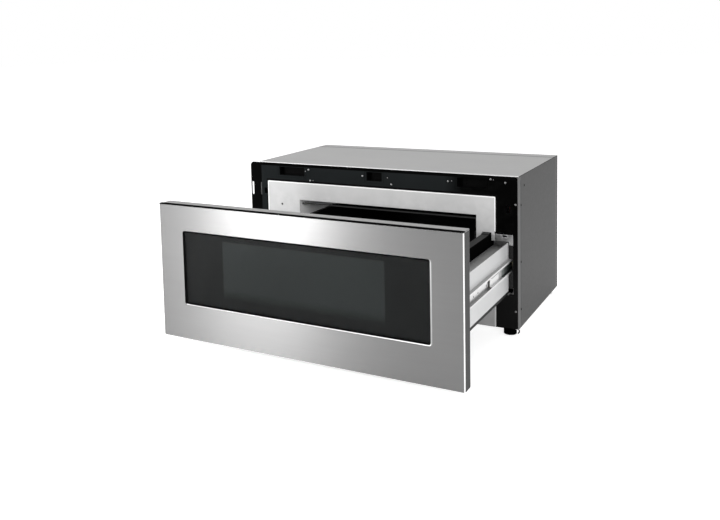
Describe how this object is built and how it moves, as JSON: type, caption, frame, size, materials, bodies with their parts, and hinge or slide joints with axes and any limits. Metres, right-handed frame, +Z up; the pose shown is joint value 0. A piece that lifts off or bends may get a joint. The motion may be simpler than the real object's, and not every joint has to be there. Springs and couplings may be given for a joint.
{
  "type": "microwave drawer",
  "caption": "Built-in microwave drawer standing open: flat steel front with a dark window, tub on side slides, flanged box body.",
  "frame": {"origin": "on the floor under the middle of the box round the open drawer", "axes": "+X to the object's right seen from the front, +Y to its back, +Z up"},
  "size_m": [0.759, 0.7774, 0.386],
  "materials": {
    "panel_grey": "satin",
    "zinc": "satin",
    "black_paint": "satin",
    "pale_paint": "satin",
    "stainless": "brushed",
    "door_grey": "satin",
    "dark_glass": "gloss",
    "screen_black": "matte",
    "black_plastic": "matte",
    "black_enamel": "gloss",
    "pale_ceramic": "gloss",
    "white_paint": "satin",
    "slide_steel": "satin",
    "cage_steel": "gloss",
    "copper": "gloss",
    "core_iron": "matte",
    "board_green": "satin",
    "white_plastic": "satin",
    "switch_red": "satin",
    "motor_alloy": "satin",
    "screw_steel": "gloss",
    "foot_rubber": "matte"
  },
  "bodies": {
    "chassis": {"base_pan": "zinc", "left_side_panel": "panel_grey", "right_side_panel": "panel_grey", "top_panel": "panel_grey", "back_panel": "zinc", "front_flange": "black_paint", "front_face": "black_paint", "face_plate": "pale_paint", "cavity_liner": "pale_paint", "cavity_side_guides": "black_plastic", "slide_carrier_left": "zinc", "slide_carrier_right": "zinc", "cabinet_members": "slide_steel", "waveguide": "zinc", "magnetron": "motor_alloy", "transformer_core": "core_iron", "transformer_coils": "copper", "capacitor": "motor_alloy", "fan_housing": "black_plastic", "fan_motor": "motor_alloy", "stirrer_motor": "white_plastic", "stirrer_cover": "white_plastic", "control_board": "board_green", "noise_filter_board": "board_green", "power_inlet": "black_plastic", "drive_motor": "motor_alloy", "rack_guide": "white_plastic", "cavity_lamp": "white_plastic", "recess_sockets": "black_plastic", "interlock_switches": "switch_red", "feet": "foot_rubber", "face_screws": "screw_steel", "side_screws": "screw_steel"},
    "drawer": {"door_skin": "stainless", "door_seam": "black_plastic", "door_body": "door_grey", "window_glass": "dark_glass", "glass_seal": "black_plastic", "window_screen": "screen_black", "inner_door_panel": "door_grey", "choke_cover": "black_plastic", "drawer_tub": "black_enamel", "ceramic_tray": "pale_ceramic", "bracket_left": "white_paint", "bracket_right": "white_paint", "side_rails": "black_plastic", "bracket_strips": "black_plastic", "drawer_members": "slide_steel", "drive_rack": "white_plastic", "latch_hooks": "white_plastic", "drawer_screws": "screw_steel"},
    "middle_left": {"middle_member_left": "slide_steel"},
    "middle_right": {"middle_member_right": "slide_steel"},
    "outer_cages": {"outer_ball_cages": "cage_steel"},
    "inner_cages": {"inner_ball_cages": "cage_steel"},
    "pinion": {"drive_pinion": "white_plastic"},
    "fan_rotor": {"fan_blades": "black_plastic"},
    "stirrer": {"field_stirrer": "zinc"},
    "button_left": {"plunger_left": "white_plastic"},
    "button_right": {"plunger_right": "white_plastic"}
  },
  "joints": [
    {"name": "drawer_slide", "type": "slide", "parent": "chassis", "child": "drawer", "axis": [0, 1, 0], "range_m": [0, 0.338]},
    {"name": "middle_left_slide", "type": "slide", "parent": "chassis", "child": "middle_left", "axis": [0, 1, 0], "range_m": [0, 0.169]},
    {"name": "middle_right_slide", "type": "slide", "parent": "chassis", "child": "middle_right", "axis": [0, 1, 0], "range_m": [0, 0.169]},
    {"name": "outer_cages_slide", "type": "slide", "parent": "chassis", "child": "outer_cages", "axis": [0, 1, 0], "range_m": [0, 0.2535]},
    {"name": "inner_cages_slide", "type": "slide", "parent": "chassis", "child": "inner_cages", "axis": [0, 1, 0], "range_m": [0, 0.0845]},
    {"name": "pinion_turn", "type": "hinge", "parent": "chassis", "child": "pinion", "pos_m": [0.0125, 0.02675, 0.041], "axis": [1, 0, 0], "range_deg": [-1614, 0]},
    {"name": "fan_spin", "type": "hinge", "parent": "chassis", "child": "fan_rotor", "pos_m": [-0.255, 0.37075, 0.337], "axis": [0, 1, 0], "continuous": true},
    {"name": "stirrer_spin", "type": "hinge", "parent": "chassis", "child": "stirrer", "pos_m": [-0.02, 0.17175, 0.281], "axis": [0, 0, 1], "continuous": true},
    {"name": "button_left_press", "type": "slide", "parent": "chassis", "child": "button_left", "axis": [0, 1, 0], "range_m": [0, 0.0025], "stiffness_N_per_m": 150},
    {"name": "button_right_press", "type": "slide", "parent": "chassis", "child": "button_right", "axis": [0, 1, 0], "range_m": [0, 0.0025], "stiffness_N_per_m": 150}
  ],
  "couplings": [
    {"joint": "middle_left_slide", "follows": "drawer_slide", "ratio": 0.5},
    {"joint": "middle_right_slide", "follows": "drawer_slide", "ratio": 0.5},
    {"joint": "outer_cages_slide", "follows": "drawer_slide", "ratio": 0.75},
    {"joint": "inner_cages_slide", "follows": "drawer_slide", "ratio": 0.25},
    {"joint": "pinion_turn", "follows": "drawer_slide", "rad_per_m": -83.333}
  ]
}
